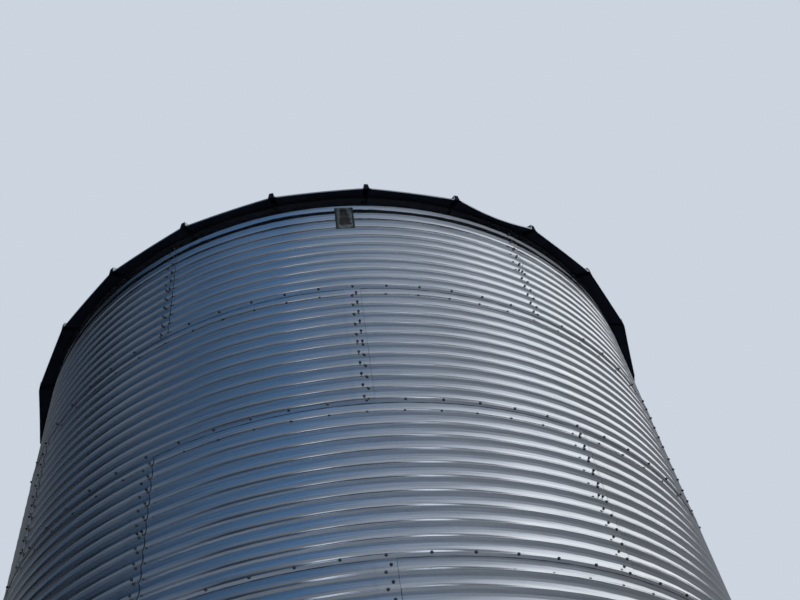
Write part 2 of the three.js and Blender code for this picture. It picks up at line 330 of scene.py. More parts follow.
def bolt_template():
    """A hex head on a washer, with its axis along +Z."""
    turns = np.arange(BOLT_SIDES) * math.tau / BOLT_SIDES
    hexagon = np.where(np.arange(BOLT_SIDES) % 2, HEX_FLAT, HEX_RADIUS)
    levels = [
        (WASHER_RADIUS, -1.0 * MM),
        (WASHER_RADIUS, 1.4 * MM),
        (0.86 * WASHER_RADIUS, WASHER_TOP),
        (hexagon, WASHER_TOP),
        (hexagon, 6.9 * MM),
        (0.9 * HEX_FLAT, 7.7 * MM),
    ]
    rings = [
        np.stack([radius * np.cos(turns), radius * np.sin(turns), np.full(BOLT_SIDES, height)], axis=1)
        for radius, height in levels
    ]
    vertices = np.concatenate([*rings, [[0, 0, HEAD_TOP]]])
    faces = []
    for level in range(len(levels) - 1):
        for side in range(BOLT_SIDES):
            low, after = level * BOLT_SIDES, (side + 1) % BOLT_SIDES
            faces.append((low + side, low + after, low + BOLT_SIDES + after, low + BOLT_SIDES + side))
    top = (len(levels) - 1) * BOLT_SIDES
    crown = [(top + side, top + (side + 1) % BOLT_SIDES, len(vertices) - 1) for side in range(BOLT_SIDES)]
    return vertices, faces, crown


BOLT = bolt_template()


def bolt_heads(name, places, outwards, material, scale=1.0):
    """Bolt heads at some places, each standing along its outward direction, as one mesh."""
    template, quads, crown = BOLT
    vertices, faces = [], []
    for place, outward in zip(places, outwards):
        turn = Vector((0, 0, 1)).rotation_difference(Vector(outward)).to_matrix()
        spin = Matrix.Rotation(random.uniform(0, math.tau), 3, "Z")
        basis = np.array(turn @ spin) * scale
        start = len(vertices) * len(template)
        vertices.append(template @ basis.T + place)
        faces += [tuple(index + start for index in face) for face in quads + crown]
    is_head = [float(height > WASHER_TOP - 0.1 * MM) for height in template[:, 2]]
    tones = is_head * len(vertices)
    made = mesh_object(name, np.concatenate(vertices), faces, material, smooth=False, tones=tones)
    return made


def wall_bolts(name, angles, heights, stand_out, material):
    """Bolts through the wall at some angles and heights."""
    angles, heights = np.asarray(angles), np.asarray(heights)
    places = around(angles, wall_profile(heights) + stand_out, heights)
    return bolt_heads(name, places, around(angles, 1.0, 0.0), material)


def seam_bolts(row, material):
    """The bolts of one horizontal seam."""
    angles = FIRST_BOLT_ANGLE + BOLT_ANGLE * np.arange(BOLTS_PER_RING)
    heights = np.full(BOLTS_PER_RING, MARGIN + row * RING_HEIGHT)
    stand_out = FOOT_LAP if row else BASE_LEG_THICKNESS + CLEARANCE
    return wall_bolts(f"seam_bolts_{row + 1}", angles, heights, stand_out, material)


def upright_bolts(ring, material):
    """The bolts of a ring's upright seams, on the crests in one column and in the valleys in the other.

    The columns change over half-way down, where the middle valley has a bolt in both.
    """
    top = MARGIN + (ring + 1) * RING_HEIGHT
    half = CORRUGATIONS // 2
    crests = [(step, -1 if step <= half else 1) for step in range(1, CORRUGATIONS)]
    valleys = [(step + 0.5, 1 if step < half else -1) for step in range(CORRUGATIONS)] + [(half + 0.5, 1)]
    angles, heights = [], []
    for index in range(SHEETS_PER_RING):
        seam = SEAM_ANGLES[ring % 2] + index * SHEET_ANGLE
        for step, column in crests + valleys:
            angles.append(seam + column * SEAM_COLUMN)
            heights.append(top - step * PITCH)
    return wall_bolts(f"upright_bolts_{ring + 1}", angles, heights, SIDE_LAP, material)


# Roof

def panel_turn(index):
    """The direction of a panel's middle, in radians from the front."""
    return math.radians(FIRST_RIB_ANGLE) + (index + 0.5) * PANEL_ANGLE


def panel_place(index, across, along, level):
    """Points in a panel's own frame: across its middle, out along it, and up."""
    turn = panel_turn(index)
    x = across * math.cos(turn) + along * math.sin(turn)
    y = across * math.sin(turn) - along * math.cos(turn)
    return np.stack(np.broadcast_arrays(x, y, level), axis=-1)


def pan_level(along, lift=0.0):
    """The height of a point lifted off the pan's underside, some way out along the panel."""
    return ROOF_POINT - along / EAVE_MIDDLE * ROOF_RISE + lift / math.cos(ROOF_SLOPE)


def panel_half_width(share):
    return share * EAVE_RADIUS * math.sin(PANEL_ANGLE / 2)


def pan_crown(index, aside, share):
    """How far a pan stands up, from its middle at 0 to its ribs at 1, at a share of the way out."""
    crown = 0.0 if index + 1 == BENT_PANEL else EAVE_CROWN
    return crown * share**3 * np.maximum(1 - np.square(aside), 0)


def panel_points(index, at_eave, height, share, bend=0.0, lip=0.0):
    """Points of a panel by where they would be at the eave.

    The pan narrows inwards and the rib keeps its width.
    What lies past the joint with the next panel is the near side mirrored in that joint.
    """
    at_eave, height, share, lip = np.broadcast_arrays(at_eave, height, share, lip)
    full, width = panel_half_width(1), panel_half_width(share)
    in_pan = np.abs(at_eave) < full - RIB_HALF - 1 * MM
    pan = at_eave * (width - RIB_HALF) / (full - RIB_HALF)
    across = np.where(in_pan, pan, at_eave - np.sign(at_eave) * (full - width))
    past = across > width
    overhang = np.maximum(share * EAVE_MIDDLE - BEND_RADIUS, 0) / math.cos(ROOF_SLOPE)
    aside = at_eave / (full - RIB_HALF)
    bent = np.where(in_pan, bend * (1 - aside**2), 0)
    pull = overhang * (math.cos(ROOF_SLOPE) - np.cos(ROOF_SLOPE + bent))
    drop = overhang * (np.sin(ROOF_SLOPE + bent) - math.sin(ROOF_SLOPE))
    # The pan sags a little between its ribs, and stands up at the eave
    sag = 3 * MM * (1 - aside**2) * np.sin(math.pi * share) ** 2
    lift = np.where(in_pan, pan_crown(index, aside, share) - sag, 0)
    along = share * EAVE_MIDDLE - pull
    side = np.where(past, 2 * width - across, across)
    joint_x, joint_y = math.sin(PANEL_ANGLE / 2), math.cos(PANEL_ANGLE / 2)
    on_joint = side * joint_x + along * joint_y
    final_across = np.where(past, 2 * on_joint * joint_x - side, side)
    final_along = np.where(past, 2 * on_joint * joint_y - along, along)
    level = pan_level(share * EAVE_MIDDLE, height) - drop + lift - lip
    return panel_place(index, final_across, final_along, level)


def roof_panel(index, materials):
    """One panel: each flat of its section as its own strip, the eave's lip and the rib's closed end."""
    rib, base, top, thick = panel_half_width(1), RIB_BASE / 2, RIB_TOP / 2, PANEL_THICKNESS
    left, foot = -rib + RIB_HALF + CLEARANCE, rib + RIB_HALF
    pan_end = rib - base
    over = [
        (left, thick),
        (pan_end, thick),
        (rib - top, RIB_HEIGHT),
        (rib + top, RIB_HEIGHT),
        (rib + base, thick),
        (foot, thick),
    ]
    hollow = RIB_HEIGHT - thick
    under = [
        (left, 0),
        (pan_end + thick, 0),
        (rib - top + thick / 2, hollow),
        (rib + top - thick / 2, hollow),
        (rib + base - thick, 0),
        (foot, 0),
    ]
    bend = EAVE_BEND if index + 1 == BENT_PANEL else 0.0
    wall_line = BEND_RADIUS / EAVE_MIDDLE
    within = np.linspace(PANEL_INNER_RADIUS / EAVE_RADIUS, wall_line, 9)
    shares = np.array([*within, (1 + wall_line) / 2, 1.0])
    parts, choices = [], []

    def strip(section, at, flipped, choice):
        """A grid through points of the section at some shares of the way out."""
        at_eave, height = (np.array(values)[:, None] for values in zip(*section))
        points = panel_points(index, at_eave, height, np.asarray(at)[None, :], bend)
        faces = grid_faces(*points.shape[:2], flipped=flipped)
        parts.append((points.reshape(-1, 3), faces))
        choices.extend([choice] * len(faces))

    # The underside strips take the second material, which carries the roof's painted shade.
    for outline, flipped, choice in ((over, False, 0), (under, True, 1)):
        for start, end in zip(outline, outline[1:]):
            pieces = PAN_STRIPS if start is outline[0] else 1
            section = [np.add(start, np.subtract(end, start) * step / pieces) for step in range(pieces + 1)]
            strip(section, shares, flipped, choice)
    # The sheet's cut edges
    strip([(left, 0), (left, thick)], shares, False, 0)
    strip([(foot, thick), (foot, 0)], shares, False, 0)
    for share, flipped in ((shares[0], True), (1.0, False)):
        for (start, end), (low_start, low_end) in zip(zip(over, over[1:]), zip(under, under[1:])):
            pieces = PAN_STRIPS if start is over[0] else 1
            ends = []
            for first, last in ((low_start, low_end), (start, end)):
                at_eave, height = (np.linspace(first[axis], last[axis], pieces + 1) for axis in (0, 1))
                ends.append(panel_points(index, at_eave, height, share, bend))
            faces = grid_faces(2, pieces + 1, flipped=flipped)
            parts.append((np.concatenate(ends), faces))
            choices.extend([0] * len(faces))
    # The lip turned down at the eave, from foot to rib
    at_eave = np.linspace(left, pan_end, PAN_STRIPS + 1)
    lip = np.array([0, LIP_DEPTH])[:, None]
    out = panel_points(index, at_eave, 0.0, 1.0, bend, lip)
    back = panel_points(index, at_eave, 0.0, 1.0 - 1.5 * MM / EAVE_MIDDLE, bend, lip)
    # The lip's back takes the painted-shade material as well.
    for grid, flipped, choice in (
        (out, True, 0),
        (back, False, 1),
        (np.stack([out[1], back[1]]), True, 0),
        (np.stack([out[:, 0], back[:, 0]]), True, 0),
        (np.stack([out[:, -1], back[:, -1]]), False, 0),
    ):
        faces = grid_faces(*grid.shape[:2], flipped=flipped)
        parts.append((grid.reshape(-1, 3), faces))
        choices.extend([choice] * len(faces))
    # The rib's end, pressed shut, in the underside's painted-shade material
    for share, flipped in ((1 - 2 * MM / EAVE_MIDDLE, True), (1 - 3.5 * MM / EAVE_MIDDLE, False)):
        corners = panel_points(index, *np.array(under[1:5]).T, share)
        parts.append((corners, np.array([(0, 1, 2, 3)])[:, :: -1 if flipped else 1]))
        choices.append(1)

    made = mesh_object(f"roof_sheet_{index + 1:02d}", *joined(parts), materials, choices=choices)
    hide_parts(f"roof_panel_{index + 1:02d}")


def eave_filler(material):
    """The foam that fills the gap between the wall's top edge and the panels, up into each rib."""
    inner, outer = WALL_RADIUS - 9 * MM, WALL_RADIUS + 4 * MM
    base, top = RIB_BASE / 2 - PANEL_THICKNESS - 1 * MM, RIB_TOP / 2 - PANEL_THICKNESS / 2 - 1 * MM
    rib = panel_half_width(WALL_RADIUS / EAVE_RADIUS)
    hollow = RIB_HEIGHT - PANEL_THICKNESS - 1 * MM
    outline = [(-rib + base, 0), *((share * rib, 0) for share in (-0.6, -0.3, 0, 0.3, 0.6))]
    outline += [(rib - base, 0), (rib - top, hollow), (rib, hollow)]
    outline = [(-rib, hollow), (-rib + top, hollow)] + outline
    sections = []
    for index in range(PANELS):
        for across, lift in outline[:-1]:
            turn = np.full(4, math.degrees(panel_turn(index) + math.asin(across / WALL_RADIUS)))
            radius = np.array([outer, outer, inner, inner])
            along = np.sqrt(radius**2 - across**2)
            crown = pan_crown(index, across / (rib - RIB_HALF), along / EAVE_MIDDLE) if lift == 0 else 0.0
            under = pan_level(along, lift - 0.4 * MM) + crown
            height = np.array([WALL_TOP - 2 * MM, under[1], under[2], WALL_TOP - 2 * MM])
            sections.append(around(turn, radius, height))
    ring = np.array([*sections, sections[0]])
    ring = np.concatenate([ring, ring[:, :1]], axis=1)
    faces = grid_faces(*ring.shape[:2], flipped=True)
    made = mesh_object("eave_filler", ring.reshape(-1, 3), faces, material, smooth=False)


FIRST_SCREW = 0.66
SCREW_SPACING = 0.33
WALL_SCREWS = (-0.21, 0.0, 0.21)  # across each panel, where it lies on the wall


def roof_bolts(material):
    """Screws down each rib's foot, and through each panel into the top of the wall."""
    places, outwards = [], []
    for index in range(PANELS):
        turn = panel_turn(index)
        normal = (
            math.sin(ROOF_SLOPE) * math.sin(turn),
            -math.sin(ROOF_SLOPE) * math.cos(turn),
            math.cos(ROOF_SLOPE),
        )
        # The foot of the rib before this panel lies along this panel's left side
        for along in np.arange(FIRST_SCREW, EAVE_MIDDLE - 0.03, SCREW_SPACING):
            side = panel_half_width(along / EAVE_MIDDLE) - RIB_BASE / 2 - 0.5 * RIB_FOOT
            places.append(panel_place(index, -side, along, pan_level(along, PANEL_THICKNESS)))
            outwards.append(normal)
        along = WALL_RADIUS - 20 * MM
        share = along / EAVE_MIDDLE
        for across in WALL_SCREWS:
            crown = pan_crown(index, across / (panel_half_width(share) - RIB_HALF), share)
            places.append(panel_place(index, across, along, pan_level(along, PANEL_THICKNESS) + crown))
            outwards.append(normal)
    bolt_heads("roof_screws", np.array(places), outwards, material, 0.72)


def revolved(name, outline, sides, material, node):
    """A closed outline of (radius, height) turned round the axis, each flat of it as its own strip."""
    parts = []
    turns = np.linspace(0, 360, sides + 1)
    for start, end in zip(outline, [*outline[1:], outline[0]]):
        radius, height = (np.array([start[axis], end[axis]])[:, None] for axis in (0, 1))
        points = around(turns[None, :], radius, height)
        parts.append((points.reshape(-1, 3), grid_faces(2, sides + 1)))
    made = mesh_object(name, *joined(parts), material)
    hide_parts(node)


def peak(roof, bolt):
    """The collar over the panels' inner ends, its cap, and the screws of both."""
    thick = COLLAR_THICKNESS
    skirt_low = SKIRT_TOP - COLLAR_SKIRT * math.tan(ROOF_SLOPE)
    skirt_radius = COLLAR_RADIUS + COLLAR_SKIRT
    seam = SKIRT_TOP + 0.55 * COLLAR_RISE
    collar = [
        (COLLAR_RADIUS - thick, SKIRT_TOP - 0.06),
        (COLLAR_RADIUS, SKIRT_TOP - 0.06),
        (COLLAR_RADIUS, SKIRT_TOP),
        (skirt_radius, skirt_low),
        (skirt_radius, skirt_low + thick),
        (COLLAR_RADIUS, SKIRT_TOP + thick),
        (COLLAR_RADIUS, seam),
        (COLLAR_RADIUS + 4 * MM, seam + 4 * MM),
        (COLLAR_RADIUS + 4 * MM, seam + 10 * MM),
        (COLLAR_RADIUS, seam + 14 * MM),
        (COLLAR_RADIUS, COLLAR_TOP),
        (COLLAR_RADIUS - thick, COLLAR_TOP),
    ]
    revolved("collar", collar, 96, roof, "peak_collar")
    under = COLLAR_TOP + CLEARANCE - 14 * MM * math.tan(CAP_SLOPE)
    rise = CAP_RIM * math.tan(CAP_SLOPE)
    hem = 6 * MM
    cap = [
        (1 * MM, under + rise),
        (CAP_RIM - thick, under),
        (CAP_RIM - thick, under - CAP_LIP),
        (CAP_RIM, under - CAP_LIP),
        (CAP_RIM, under - hem),
        (CAP_RIM, under + thick),
        (0.62 * CAP_RIM, under + thick + 0.38 * rise),
        (0.60 * CAP_RIM, under + thick + 0.40 * rise - 3 * MM),
        (0.56 * CAP_RIM, under + thick + 0.44 * rise - 3 * MM),
        (0.54 * CAP_RIM, under + thick + 0.46 * rise),
        (1 * MM, under + thick + rise),
    ]
    revolved("cap", cap, 96, roof, "fill_cap")
    angles = FIRST_RIB_ANGLE + np.arange(PANELS) * 360 / PANELS
    radius = COLLAR_RADIUS + 0.7 * COLLAR_SKIRT
    on_skirt = around(angles, radius, SKIRT_TOP + thick - 0.7 * COLLAR_SKIRT * math.tan(ROOF_SLOPE))
    outwards = around(angles, math.sin(ROOF_SLOPE), math.cos(ROOF_SLOPE))
    bolt_heads("collar_screws", on_skirt, outwards, bolt, 0.8)
    turned = angles[::2] + 7.5
    on_lip = around(turned, CAP_RIM, under - 0.6 * CAP_LIP)
    bolt_heads("cap_screws", on_lip, around(turned, 1.0, 0.0), bolt, 0.7)


# Foot and ladder

BASE_LEG = 50 * MM
BASE_LEG_THICKNESS = 5 * MM
ANCHORS = 24


def base(steel, bolt):
    """The rolled angle round the foot, with its anchor bolts."""
    inner, leg, thick = WALL_OUTSIDE + CLEARANCE, BASE_LEG, BASE_LEG_THICKNESS
    outline = [
        (inner, 0),
        (inner + leg, 0),
        (inner + leg, thick),
        (inner + thick, thick),
        (inner + thick, leg),
        (inner, leg),
    ]
    revolved("foot_angle", outline, 144, steel, "base_angle")
    angles = FIRST_BOLT_ANGLE + BOLT_ANGLE / 2 + np.arange(ANCHORS) * 360 / ANCHORS
    places = around(angles, inner + 0.58 * leg, thick)
    bolt_heads("anchor_bolts", places, [(0, 0, 1)] * ANCHORS, bolt, 1.9)


LADDER_ANGLE = FIRST_RIB_ANGLE + 11.5 * 360 / PANELS
LADDER_FOOT = 0.52
RUNG_SPACING = 12 * INCH
RUNGS_PER_SECTION = 8
RAIL_GAP = 16 * INCH
RAIL_THICKNESS = 10 * MM
RAIL_RADIUS = 2.912
BRACKETS = 5
BRACKET_RUNGS = 5  # from one bracket to the next
BRACKET_FOOT_BOLT = 18 * MM  # from the rail's outer side to the bolt in the bracket's foot
SPLICE_BOLT = 45 * MM  # from a splice of the rails to its bolts, above and below


def ladder_place(across, outward, height):
    """A point in the ladder's own frame: across it, out from the silo's axis, and up."""
    turn = math.radians(LADDER_ANGLE)
    x = across * math.cos(turn) + outward * math.sin(turn)
    y = across * math.sin(turn) - outward * math.cos(turn)
    return (x, y, height)


def ladder_bolts(material):
    """Bolts through the rails at each bracket and each splice, and through the brackets' feet."""
    turn = math.radians(LADDER_ANGLE)
    side = np.array([math.cos(turn), math.sin(turn), 0])
    rail_side = RAIL_GAP / 2 + RAIL_THICKNESS / 2
    places, outwards = [], []
    for index in range(BRACKETS):
        height = LADDER_FOOT + (BRACKET_RUNGS * index + 2) * RUNG_SPACING
        for way in (-1, 1):
            places.append(ladder_place(way * rail_side, RAIL_RADIUS - 12 * MM, height))
            outwards.append(way * side)
            aside = math.asin((rail_side + BRACKET_FOOT_BOLT) / WALL_OUTSIDE)
            angle = LADDER_ANGLE + way * math.degrees(aside)
            places.append(around(angle, WALL_OUTSIDE + 3 * MM, height))
            outwards.append(around(angle, 1.0, 0.0))
    for section in (1, 2):
        joint = LADDER_FOOT + section * RUNGS_PER_SECTION * RUNG_SPACING
        for way in (-1, 1):
            for above in (-SPLICE_BOLT, SPLICE_BOLT):
                places.append(ladder_place(way * rail_side, RAIL_RADIUS, joint + above))
                outwards.append(way * side)
    bolt_heads("ladder_bolts", np.array(places), outwards, material, 0.85)


# The weathered plate

PLATE_ANGLE = 3.1
PLATE_WIDTH = 144 * MM
PLATE_FOOT = 7.44
PLATE_HEIGHT = 273 * MM
PLATE_FACE = 2.2 * MM  # the plate's thickness, without what is raised on it


def plate(materials):
    """A plate with bevelled edges, a raised trapezoid on it, and a strip across its foot."""
    turn = math.radians(PLATE_ANGLE)
    back = WALL_OUTSIDE + CLEARANCE

    def placed(across, height, lift):
        across, height, lift = np.broadcast_arrays(across, height, lift)
        outward = back + lift
        x = across * math.cos(turn) + outward * math.sin(turn)
        y = across * math.sin(turn) - outward * math.cos(turn)
        return np.stack([x, y, PLATE_FOOT + height], axis=-1)

    def slab(corners, low, high, bevel, choice):
        """A flat piece over four corners, its top edge bevelled."""
        corners = np.array(corners)
        middle = corners.mean(axis=0)
        shrunk = middle + (corners - middle) * (1 - bevel / np.abs(corners - middle))
        levels = [(corners, low), (corners, high - bevel), (shrunk, high)]
        rings = [placed(points[:, 0], points[:, 1], lift) for points, lift in levels]
        vertices = np.concatenate(rings)
        faces = [(0, 3, 2, 1), (8, 9, 10, 11)]
        for level in (0, 4):
            for side in range(4):
                after = (side + 1) % 4
                faces.append((level + side, level + after, level + 4 + after, level + 4 + side))
        parts.append((vertices, faces))
        choices.extend([choice] * len(faces))

    parts, choices = [], []
    half, tall = PLATE_WIDTH / 2, PLATE_HEIGHT
    whole = [(-half, 0), (half, 0), (half, tall), (-half, tall)]
    trapezoid = [
        (-0.60 * half, 0.15 * tall),
        (0.66 * half, 0.15 * tall),
        (0.28 * half, 0.93 * tall),
        (-0.40 * half, 0.93 * tall),
    ]
    foot_strip = [
        (-0.86 * half, 0.05 * tall),
        (0.86 * half, 0.05 * tall),
        (0.84 * half, 0.12 * tall),
        (-0.84 * half, 0.12 * tall),
    ]
    slab(whole, 0, PLATE_FACE, 0.6 * MM, 0)
    slab(trapezoid, 2.0 * MM, 3.0 * MM, 0.4 * MM, 1)
    slab(foot_strip, 2.0 * MM, 2.9 * MM, 0.4 * MM, 2)
    made = mesh_object("plate", *joined(parts), materials, smooth=False, choices=choices)
    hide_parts("wall_plate")
    corners = [(across * 0.88 * half, height * tall) for across in (-1, 1) for height in (0.035, 0.965)]
    places = np.array([placed(across, height, PLATE_FACE) for across, height in corners])
    away = (math.sin(turn), -math.cos(turn), 0)
    bolt_heads("plate_rivets", places, [away] * 4, materials[3], 0.3)


# Materials

class Nodes:
    """Short calls for building a node tree."""

    def __init__(self, tree):
        self.tree = tree
        tree.nodes.clear()

    def add(self, kind, inputs=None, **settings):
        node = self.tree.nodes.new(kind)
        for key, value in settings.items():
            setattr(node, key, value)
        for key, value in (inputs or {}).items():
            if isinstance(value, bpy.types.NodeSocket):
                self.tree.links.new(value, node.inputs[key])
            else:
                node.inputs[key].default_value = value
        return node

    def math(self, operation, *values, clamp=False):
        node = self.add("ShaderNodeMath", dict(enumerate(values)), operation=operation, use_clamp=clamp)
        return node.outputs[0]

    def between(self, share, low, high):
        """A number from low to high as the share goes from 0 to 1."""
        return self.math("MULTIPLY_ADD", share, high - low, low)

    def vector(self, x, y, z=0.0):
        return self.add("ShaderNodeCombineXYZ", {0: x, 1: y, 2: z}).outputs[0]

    def noise(self, place, scale, detail=3.0, rough=0.5):
        inputs = {"Vector": place, "Scale": scale, "Detail": detail, "Roughness": rough}
        return self.add("ShaderNodeTexNoise", inputs).outputs[0]

    def steps(self, share, *stops):
        """A colour ramp through some (place, colour) stops."""
        node = self.add("ShaderNodeValToRGB", {0: share})
        ramp = node.color_ramp
        while len(ramp.elements) < len(stops):
            ramp.elements.new(0.5)
        for element, (place, colour) in zip(ramp.elements, stops):
            element.position = place
            element.color = (*colour, 1) if isinstance(colour, tuple) else (colour, colour, colour, 1)
        return node.outputs[0]

    def blend(self, share, first, second, blend_type="MIX"):
        node = self.add("ShaderNodeMix", data_type="RGBA", blend_type=blend_type)
        for index, value in ((0, share), (6, first), (7, second)):
            if isinstance(value, bpy.types.NodeSocket):
                self.tree.links.new(value, node.inputs[index])
            else:
                node.inputs[index].default_value = value if index == 0 else (*value, 1)
        return node.outputs[2]


def new_material(name):
    material = bpy.data.materials.new(name)
    material.use_nodes = True
    return material, Nodes(material.node_tree)


def finish_material(nodes, colour, metallic, roughness, height=None, bump=(0.3, 0.001), ior=1.5):
    inputs = {"Base Color": colour, "Metallic": metallic, "Roughness": roughness, "IOR": ior}
    if height is not None:
        strength, distance = bump
        inputs["Normal"] = nodes.add(
            "ShaderNodeBump", {"Height": height, "Strength": strength, "Distance": distance}
        ).outputs[0]
    shader = nodes.add("ShaderNodeBsdfPrincipled", inputs)
    nodes.add("ShaderNodeOutputMaterial", {"Surface": shader.outputs[0]})


def round_the_wall(nodes):
    """Distance round the wall, height, and the plain position."""
    place = nodes.add("ShaderNodeTexCoord").outputs["Object"]
    split = nodes.add("ShaderNodeSeparateXYZ", {0: place}).outputs
    turn = nodes.math("ARCTAN2", split[0], nodes.math("MULTIPLY", split[1], -1.0))
    return nodes.math("MULTIPLY", turn, WALL_RADIUS), split[2], place


def wall_steel():
    """Rolled galvanised sheet: fine streaks along the rolling direction, spangle and soft stains."""
    material, nodes = new_material("galvanised_wall_sheet")
    along, up, place = round_the_wall(nodes)
    tone = nodes.add("ShaderNodeAttribute", attribute_name="tone").outputs["Fac"]

    def stretched(across, upwards, detail=3.0, rough=0.5):
        """Noise with its own scale round the wall and up it."""
        wide, tall = nodes.math("MULTIPLY", along, across), nodes.math("MULTIPLY", up, upwards)
        return nodes.noise(nodes.vector(wide, tall, tone), 1.0, detail, rough)

    streaks = stretched(2.2, 95.0, 4.0, 0.6)
    fine = stretched(9.0, 260.0, 2.0)
    spangle = stretched(26.0, 44.0, 3.0, 0.6)
    stains = stretched(1.1, 2.3, 5.0, 0.6)
    grey = nodes.steps(streaks, (0.32, (0.38, 0.405, 0.43)), (0.68, (0.70, 0.72, 0.74)))
    grey = nodes.blend(nodes.between(spangle, -0.2, 0.8), grey, (0.57, 0.59, 0.625))
    grey = nodes.blend(nodes.math("MULTIPLY", stains, 0.45), grey, (0.50, 0.52, 0.53))
    brightness = nodes.math("MULTIPLY_ADD", tone, 0.08, 1.0)
    colour = nodes.add("ShaderNodeVectorMath", {0: grey, 3: brightness}, operation="SCALE").outputs[0]
    roughness = nodes.math("ADD", nodes.between(stains, 0.035, 0.11), nodes.math("MULTIPLY", spangle, 0.06))
    grain = nodes.math("MULTIPLY_ADD", spangle, 0.7, nodes.math("MULTIPLY", fine, 0.2))
    height = nodes.math("ADD", streaks, grain)
    finish_material(nodes, colour, 0.97, roughness, height, (0.13, 0.0012))
    return material


def roof_steel():
    """The same sheet on the roof, duller with weather, and streaked down the slope."""
    material, nodes = new_material("galvanised_roof_sheet")
    place = nodes.add("ShaderNodeTexCoord").outputs["Object"]
    split = nodes.add("ShaderNodeSeparateXYZ", {0: place}).outputs
    turn = nodes.math("ARCTAN2", split[0], nodes.math("MULTIPLY", split[1], -1.0))
    down = nodes.vector(nodes.math("MULTIPLY", turn, 42.0), nodes.math("MULTIPLY", split[2], 1.6))
    streaks = nodes.noise(down, 1.0, 4.0, 0.6)
    patches = nodes.noise(place, 2.2, 6.0, 0.6)
    spangle = nodes.noise(place, 70.0, 2.0)
    grey = nodes.steps(patches, (0.3, (0.40, 0.42, 0.44)), (0.7, (0.60, 0.62, 0.64)))
    colour = nodes.blend(nodes.between(streaks, -0.35, 0.75), grey, (0.36, 0.36, 0.355))
    roughness = nodes.math("ADD", nodes.between(patches, 0.32, 0.44), nodes.math("MULTIPLY", streaks, 0.12))
    finish_material(nodes, colour, 0.9, roughness, spangle, (0.08, 0.001))
    return material


def roof_underside():
    """The roof's underside, painted near black and bluish for the shade under the roof, in soft patches."""
    material, nodes = new_material("painted_shade_roof_underside")
    place = nodes.add("ShaderNodeTexCoord").outputs["Object"]
    patches = nodes.noise(place, 5.0, 5.0, 0.6)
    # Painted shade: this near-black bluish colour stands for the shade under the roof, and the low IOR dims
    # its sheen.
    colour = nodes.steps(patches, (0.3, (0.004, 0.006, 0.012)), (0.7, (0.012, 0.015, 0.024)))
    finish_material(nodes, colour, 0.0, nodes.between(patches, 0.75, 0.95), patches, (0.1, 0.002), ior=1.2)
    return material


def bracket_steel():
    """Hot-dip galvanised sections: duller, with broad spangle."""
    material, nodes = new_material("galvanised_section")
    place = nodes.add("ShaderNodeTexCoord").outputs["Object"]
    spangle = nodes.add("ShaderNodeTexVoronoi", {"Vector": place, "Scale": 55.0}).outputs["Color"]
    grey = nodes.noise(place, 14.0, 4.0)
    shade = nodes.add("ShaderNodeSeparateXYZ", {0: spangle}).outputs[0]
    share = nodes.math("MULTIPLY_ADD", shade, 0.4, grey)
    colour = nodes.steps(share, (0.4, (0.36, 0.38, 0.40)), (1.0, (0.58, 0.60, 0.62)))
    finish_material(nodes, colour, 0.85, nodes.between(grey, 0.38, 0.55), grey, (0.1, 0.001))
    return material


def bolt_steel():
    """A plated head with wear in places, on a dark washer; both carry painted shade, darker than plating
    and rubber are.
    """
    material, nodes = new_material("plated_bolt")
    place = nodes.add("ShaderNodeTexCoord").outputs["Object"]
    head = nodes.add("ShaderNodeAttribute", attribute_name="tone").outputs["Fac"]
    wear = nodes.noise(place, 35.0, 3.0)
    # Painted shade, in part: the washer's near black is partly its rubber, and both it and the plating are
    # darkened for shade.
    plated = nodes.steps(wear, (0.35, (0.07, 0.074, 0.082)), (0.75, (0.24, 0.25, 0.265)))
    dark = nodes.steps(wear, (0.35, (0.012, 0.013, 0.016)), (0.75, (0.04, 0.041, 0.045)))
    colour = nodes.blend(head, dark, plated)
    finish_material(nodes, colour, nodes.between(head, 0.1, 0.9), nodes.between(head, 0.7, 0.33))
    return material


def sealant():
    """Dark grey mastic in the laps, with a little rust in it; its near black is partly painted shadow in
    the laps.
    """
    material, nodes = new_material("sealing_bead_and_lap_shadow")
    place = nodes.add("ShaderNodeTexCoord").outputs["Object"]
    rust = nodes.noise(place, 9.0, 5.0, 0.7)
    # Painted shadow, in part: the near-black stands for the laps' shadow as well as the mastic.
    colour = nodes.steps(rust, (0.54, (0.030, 0.034, 0.040)), (0.66, (0.09, 0.052, 0.034)))
    finish_material(nodes, colour, 0.0, 0.85)
    return material


def foam():
    """Dark closed-cell foam."""
    material, nodes = new_material("filler_foam")
    place = nodes.add("ShaderNodeTexCoord").outputs["Object"]
    cells = nodes.noise(place, 240.0, 2.0)
    colour = nodes.steps(cells, (0.3, (0.006, 0.007, 0.010)), (0.7, (0.016, 0.017, 0.021)))
    finish_material(nodes, colour, 0.0, 0.95, cells, (0.4, 0.001), ior=1.2)
    return material


